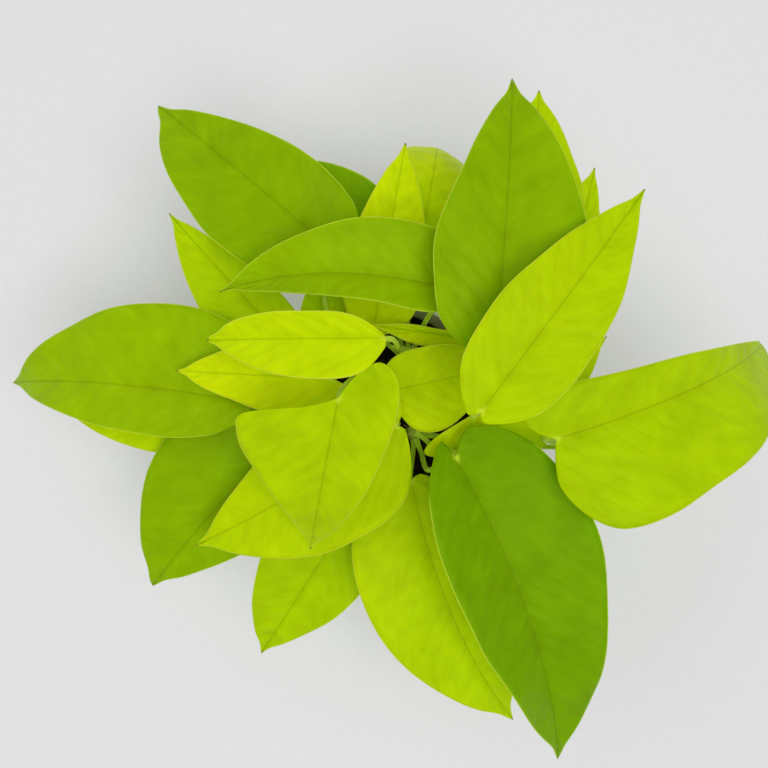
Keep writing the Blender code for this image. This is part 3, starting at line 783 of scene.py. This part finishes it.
def stem_skin(name, colour, streak_colour, roughness):
    """Living stem: smooth and wet-looking, with pale streaks along it."""
    made, tree, shader = new_material(name)
    spot = add(tree, "Attribute", attribute_name="stem_place").outputs["Vector"]
    stretched = add(tree, "VectorMath", spot, (STREAKS_ROUND, STREAKS_ALONG, 0.0),
                    operation="MULTIPLY")
    streaks = add(tree, "TexNoise", stretched, sockets={"Scale": 1.6, "Detail": 4.0})
    specks = add(tree, "TexNoise", spot, sockets={"Scale": 1.3, "Detail": 2.0})
    feed(shader, {
        "Base Color": two_tone(tree, streaks, 0.35, 0.70, colour, streak_colour),
        "Roughness": add(tree, "Math", specks, 0.2, roughness, operation="MULTIPLY_ADD"),
        "Normal": add(tree, "Bump", sockets={"Height": streaks, "Strength": 0.25,
                                             "Distance": 0.0003}),
        "IOR": 1.45, "Specular IOR Level": 0.25, "Subsurface Weight": 0.4,
        "Subsurface Radius": (0.6, 1.0, 0.1), "Subsurface Scale": 0.001,
    })
    return made


STALK_SKIN = stem_skin("pothos_stalk", linear("B2DA14"), linear("D6EE58"), 0.36)
VINE_SKIN = stem_skin("pothos_vine", linear("94B41C"), linear("C2BE62"), 0.42)
ROOT_SKIN = stem_skin("pothos_aerial_root", linear("5A4420"), linear("9A7C44"), 0.6)
for stems, skin in ((stalks, STALK_SKIN), (vines, VINE_SKIN), (stubs, ROOT_SKIN)):
    for stem in stems:
        stem.data.materials.append(skin)
print("stem skins:", STALK_SKIN.name, VINE_SKIN.name)

# %% [markdown]
# ## The pot
# A nursery pot is injection-moulded polypropylene: white pigment in a slightly cloudy plastic,
# an even satin from the mould, and a rolled rim that stiffens a wall under 2 mm thick. It is a
# turned shape, so one profile is spun round the axis. The profile has real rounding at each
# edge, because a moulded edge is never sharp and the round is what catches the light.

# %% Turn a profile
TURNED_STEPS = 160


def turned(profile):
    """A closed skin from (radius, height) points that start and end on the axis."""
    shape = bmesh.new()
    rings = []
    for radius, height in profile:
        count = TURNED_STEPS if radius > 0 else 1
        rings.append([
            shape.verts.new((radius * math.cos(2 * math.pi * k / TURNED_STEPS),
                             radius * math.sin(2 * math.pi * k / TURNED_STEPS), height))
            for k in range(count)
        ])
    for a, b in zip(rings, rings[1:]):
        for k in range(TURNED_STEPS):
            corners = [a[k - 1] if len(a) > 1 else a[0], a[k] if len(a) > 1 else a[0],
                       b[k] if len(b) > 1 else b[0], b[k - 1] if len(b) > 1 else b[0]]
            shape.faces.new(list(dict.fromkeys(corners)))
    return shape


def arc(centre, radius, start, end, count=6):
    """Points on a circle in the profile's plane, angles in degrees from outwards."""
    angles = [math.radians(start + (end - start) * i / count) for i in range(count + 1)]
    return [(centre[0] + radius * math.cos(a), centre[1] + radius * math.sin(a)) for a in angles]


print("an arc for a rim:", len(arc((0, 0), 1, 0, 90)), "points")

# %% [markdown]
# The CAD model's own measures set the pot's rim and its height, and its base is given here. The
# drain holes are cut with a Boolean, as a punch would, and a fine Bevel is not needed on them
# because they face the table.

# %% Build the pot
BASE_RADIUS = 0.040
WALL = 0.0018
FLOOR = 0.0025
RIM_OVERHANG = 0.0025
RIM_DEPTH = 0.009
DRAIN_RADIUS = 0.004
DRAIN_COUNT = 6
DRAIN_CIRCLE = BASE_RADIUS * 0.62
INNER_ROUND = 0.003  # where the wall meets the floor
FOOT_ROUND = 0.0015
RIM_ROUND = 0.0006  # along the rim's lower edge
RIM_NOTCH = 0.0004  # where the rim turns back into the wall


def wall_radius(height):
    """The pot's outer radius below the rim."""
    return BASE_RADIUS + (RIM_RADIUS - RIM_OVERHANG - BASE_RADIUS) * height / POT_HEIGHT


def pot_profile():
    lip = WALL / 2
    inner_top = RIM_RADIUS - RIM_OVERHANG - WALL
    under_rim = POT_HEIGHT - RIM_DEPTH
    corner = wall_radius(FLOOR) - WALL - INNER_ROUND
    inside = [(0, FLOOR), (corner, FLOOR)]
    inside += arc((corner, FLOOR + INNER_ROUND), INNER_ROUND, -90, -8)
    rim = arc((inner_top + lip, POT_HEIGHT - lip), lip, 180, 90)
    rim += arc((RIM_RADIUS - lip, POT_HEIGHT - lip), lip, 90, 0)
    rim += arc((RIM_RADIUS - RIM_ROUND, under_rim + RIM_ROUND), RIM_ROUND, 0, -90)
    outside = [(wall_radius(under_rim) + RIM_NOTCH, under_rim),
               (wall_radius(under_rim), under_rim - RIM_NOTCH)]
    outside += arc((wall_radius(0) - FOOT_ROUND, FOOT_ROUND), FOOT_ROUND, -3, -90)
    return inside + rim + outside + [(0, 0)]


def make_pot():
    pot = piece("nursery_pot", turned(pot_profile()), "pot")
    punch = bmesh.new()
    for i in range(DRAIN_COUNT):
        turn = 2 * math.pi * i / DRAIN_COUNT
        made = bmesh.ops.create_cone(punch, cap_ends=True, segments=32, radius1=DRAIN_RADIUS,
                                     radius2=DRAIN_RADIUS, depth=FLOOR * 3)
        place = Vector((DRAIN_CIRCLE * math.cos(turn), DRAIN_CIRCLE * math.sin(turn), FLOOR / 2))
        bmesh.ops.translate(punch, verts=made["verts"], vec=place)
    mesh = bpy.data.meshes.new("drain_punch")
    punch.to_mesh(mesh)
    punch.free()
    tool = bpy.data.objects.new("drain_punch", mesh)
    bpy.context.collection.objects.link(tool)
    cut = pot.modifiers.new("drain holes", "BOOLEAN")
    cut.object = tool
    cut.solver = "EXACT"
    with bpy.context.temp_override(object=pot, active_object=pot, selected_objects=[pot]):
        bpy.ops.object.modifier_apply(modifier=cut.name)
    bpy.data.objects.remove(tool)
    return pot


pot = make_pot()
print("pot:", len(pot.data.polygons), "faces")

# %% [markdown]
# Moulded polypropylene copies a satin mould, so its gloss is soft and a little uneven, its
# index of refraction is 1.49, and light sinks a short way into it. Handling dulls it in faint
# patches. That is what tells plastic from glazed clay.

# %% White polypropylene
PEEL_SIZE = 1.11 * MM  # finer on a real pot: drawn as coarse as it needs to show
MARK_SIZE = 16.7 * MM


def moulded_plastic(name, colour, scuffed):
    """Satin moulded plastic with a very fine orange peel and faint handling marks."""
    made, tree, shader = new_material(name)
    place = add(tree, "TexCoord").outputs["Object"]
    peel = add(tree, "TexNoise", place, sockets={"Scale": 1 / PEEL_SIZE, "Detail": 2.0})
    marks = add(tree, "TexNoise", place, sockets={"Scale": 1 / MARK_SIZE, "Detail": 5.0})
    feed(shader, {
        "Base Color": two_tone(tree, marks, 0.2, 0.6, scuffed, colour),
        "Roughness": add(tree, "Math", marks, 0.18, 0.28, operation="MULTIPLY_ADD"),
        "Normal": add(tree, "Bump", sockets={"Height": peel, "Strength": 0.08,
                                             "Distance": 0.0002}),
        "IOR": 1.49, "Subsurface Weight": 0.1, "Subsurface Scale": 0.002,
    })
    return made


pot.data.materials.append(
    moulded_plastic("white_polypropylene", linear("F2F2EE"), linear("ECECE9"))
)
print("pot material:", pot.data.materials[0].name)

# %% [markdown]
# ## Potting mix
# Potting mix is milled peat and bark, nearly black when moist, with a few white grains of
# perlite. Its surface is rough at every scale, so it is made in two layers: a ground with lumps
# a few millimetres across, and loose crumbs lying on it. A Displace modifier could make the
# lumps, but summed noise in code gives the same surface.

# %% Build the mix
LUMP = 0.006
LUMP_HEIGHT = 0.0022
GROUND_RINGS = 60
GROUND_STEPS = 220
GAP = 0.0003  # between the mix and the pot's floor


def ground_height(x, y):
    """The mix's surface at a place: lumps and finer lumps."""
    place = Vector((x, y, 0))
    height = LUMP_HEIGHT * noise.noise(place / LUMP)
    height += LUMP_HEIGHT * 0.5 * noise.noise(place / (LUMP / 2.7))
    height += LUMP_HEIGHT * 0.3 * noise.noise(place / (LUMP / 7))
    return SOIL_TOP + height


def make_ground():
    shape = bmesh.new()
    top = [[shape.verts.new((0, 0, ground_height(0, 0)))]]
    for ring in range(1, GROUND_RINGS + 1):
        radius = SOIL_RADIUS * ring / GROUND_RINGS
        top.append([])
        for k in range(GROUND_STEPS):
            x = radius * math.cos(2 * math.pi * k / GROUND_STEPS)
            y = radius * math.sin(2 * math.pi * k / GROUND_STEPS)
            top[-1].append(shape.verts.new((x, y, ground_height(x, y))))
    low = wall_radius(FLOOR) - WALL - INNER_ROUND - 0.0005
    bottom = [shape.verts.new((low * math.cos(2 * math.pi * k / GROUND_STEPS),
                               low * math.sin(2 * math.pi * k / GROUND_STEPS),
                               FLOOR + GAP)) for k in range(GROUND_STEPS)]
    for k in range(GROUND_STEPS):
        shape.faces.new((top[0][0], top[1][k - 1], top[1][k]))
        shape.faces.new((top[-1][k], top[-1][k - 1], bottom[k - 1], bottom[k]))
    for a, b in zip(top[1:], top[2:]):
        for k in range(GROUND_STEPS):
            shape.faces.new((a[k - 1], b[k - 1], b[k], a[k]))
    shape.faces.new(bottom)
    return piece("mix_ground", shape, "potting_mix")


ground = make_ground()
print("ground:", len(ground.data.vertices), "vertices")

# %% [markdown]
# Each crumb starts as a coarse ball of triangles whose corners are then pushed in and out, and
# which is stretched at random, so no two are alike. The random numbers come from a fixed seed,
# so the crumbs lie the same way each time.


# %% Scatter crumbs and perlite
def coarse_ball():
    """The corners and triangles of a ball of radius 1."""
    shape = bmesh.new()
    bmesh.ops.create_icosphere(shape, subdivisions=2, radius=1)
    shape.verts.ensure_lookup_table()
    corners = [vert.co.copy() for vert in shape.verts]
    faces = [[vert.index for vert in face.verts] for face in shape.faces]
    shape.free()
    return corners, faces


def scatter(name, count, size, stretch, seed, squash=0.7, lift=0.3):
    """Irregular grains lying on the mix, as one piece."""
    draw = random.Random(seed)
    corners, triangles = coarse_ball()
    shape = bmesh.new()
    for _ in range(count):
        radius = (SOIL_RADIUS - 0.002) * math.sqrt(draw.random())
        turn = draw.uniform(0, 2 * math.pi)
        x, y = radius * math.cos(turn), radius * math.sin(turn)
        grain = size * draw.uniform(0.5, 1.3)
        offset = Vector((draw.uniform(-9, 9), draw.uniform(-9, 9), draw.uniform(-9, 9)))
        lean = draw.uniform(0, math.pi)
        long = draw.uniform(1, stretch)
        tilt = draw.uniform(-0.4, 0.4)
        low = ground_height(x, y) + grain * lift
        verts = []
        for corner in corners:
            p = corner * grain * (1 + 0.45 * noise.noise(corner * 1.3 + offset))
            p = Vector((p.x * long, p.y, p.z * squash + p.x * tilt * long))
            verts.append(shape.verts.new((x + p.x * math.cos(lean) - p.y * math.sin(lean),
                                          y + p.x * math.sin(lean) + p.y * math.cos(lean),
                                          low + p.z)))
        for triangle in triangles:
            shape.faces.new([verts[i] for i in triangle])
    return piece(name, shape)


crumbs = scatter("peat_crumbs", 900, 0.0011, 1.8, seed=3)
bark = scatter("bark_chips", 90, 0.0017, 2.6, seed=5, squash=0.35)
perlite = scatter("perlite_grains", 90, 0.0008, 1.3, seed=8)
print("grains:", [len(o.data.vertices) for o in (crumbs, bark, perlite)])

# %% [markdown]
# Peat, bark and perlite are all matt and rough down to a fraction of a millimetre. They differ
# in colour and in how coarse their grain is, so one function with a grain size in millimetres
# serves for the three.

# %% What the mix is made of
def earthy(name, dark, light, grain_mm, roughness, depth=0.6):
    """A dry, matt, crumbly stuff with two tones."""
    made, tree, shader = new_material(name)
    place = add(tree, "TexCoord").outputs["Object"]
    grain = add(tree, "TexNoise", place, sockets={"Scale": 1 / (grain_mm * MM), "Detail": 6.0,
                                                  "Roughness": 0.65})
    feed(shader, {
        "Base Color": two_tone(tree, grain, 0.38, 0.68, dark, light),
        "Roughness": add(tree, "Math", grain, 0.2, roughness, operation="MULTIPLY_ADD"),
        "Normal": add(tree, "Bump", sockets={"Height": grain, "Strength": depth,
                                             "Distance": 0.0008}),
        "IOR": 1.4,
    })
    return made


PEAT = earthy("moist_peat", linear("0F0A07"), linear("2C2019"), 1.2, 0.75)
ground.data.materials.append(PEAT)
crumbs.data.materials.append(PEAT)
bark.data.materials.append(earthy("composted_bark", linear("1C120B"), linear("4A3424"), 0.9, 0.65))
perlite.data.materials.append(earthy("perlite", linear("B9B4A8"), linear("E2DED4"), 0.5, 0.8, 0.3))
print("mix materials:", len(bpy.data.materials))

# %% [markdown]
# ## Setting, light and camera
# The plant stands on a plain pale sheet. One large soft lamp above and to one side gives the
# leaves their broad highlights and gentle shading, a wide dim one opposite keeps the shadows
# open, and a pale surround fills in from everywhere else, as in a bright room.

# %% Floor, lamps and surround
FLOOR_SIZE = 3.0
FIBRE_SIZE = 3.3 * MM  # paper's fibres are finer: drawn as coarse as they need to show
AIM = Vector((0, 0, 0.12))  # about the middle of the plant


def make_floor():
    half = FLOOR_SIZE / 2
    mesh = bpy.data.meshes.new("floor")
    mesh.from_pydata([(-half, -half, 0), (half, -half, 0), (half, half, 0), (-half, half, 0)],
                     [], [(0, 1, 2, 3)])
    made = bpy.data.objects.new("floor", mesh)
    bpy.context.collection.objects.link(made)
    made.location.z = -0.0002
    paper, tree, shader = new_material("pale_paper")
    place = add(tree, "TexCoord").outputs["Object"]
    fibre = add(tree, "TexNoise", place, sockets={"Scale": 1 / FIBRE_SIZE})
    tone = two_tone(tree, fibre, 0.3, 0.7, linear("F1F1F2"), linear("F3F3F4"))
    feed(shader, {"Base Color": tone, "Roughness": 0.9})
    mesh.materials.append(paper)


def soft_lamp(name, place, size, power):
    """A square lamp that faces the plant."""
    light = bpy.data.lights.new(name, "AREA")
    light.shape = "SQUARE"
    light.size = size
    light.energy = power
    lamp = bpy.data.objects.new(name, light)
    lamp.location = place
    lamp.rotation_euler = (AIM - Vector(place)).to_track_quat("-Z", "Y").to_euler()
    bpy.context.collection.objects.link(lamp)


make_floor()
soft_lamp("window", (0.25, -0.25, 1.6), 1.1, 12.3)
soft_lamp("room", (-1.0, 0.9, 1.2), 1.6, 5.3)
world = bpy.data.worlds.new("surround")
bpy.context.scene.world = world
world.use_nodes = True
feed(world.node_tree.nodes["Background"], {"Color": linear("FAFAFC"), "Strength": 0.405})

# %% [markdown]
# The camera hangs straight above the pot, less than half a metre up, so high leaves look
# larger than low ones. Blender's default view transform softens strong colours, which suits
# sunlit scenes but greys a neon leaf, so the plain Standard one is set.

# %% Camera
LENS_MM = 40
CAMERA_PLACE = (0.0026, 0.015, 0.471)
camera = bpy.data.objects.new("camera", bpy.data.cameras.new("camera"))
camera.data.lens = LENS_MM
camera.data.sensor_width = 36
camera.data.clip_start = 0.01
camera.location = CAMERA_PLACE
bpy.context.collection.objects.link(camera)
bpy.context.scene.camera = camera
bpy.context.scene.view_settings.view_transform = "Standard"
print("camera at", CAMERA_PLACE)
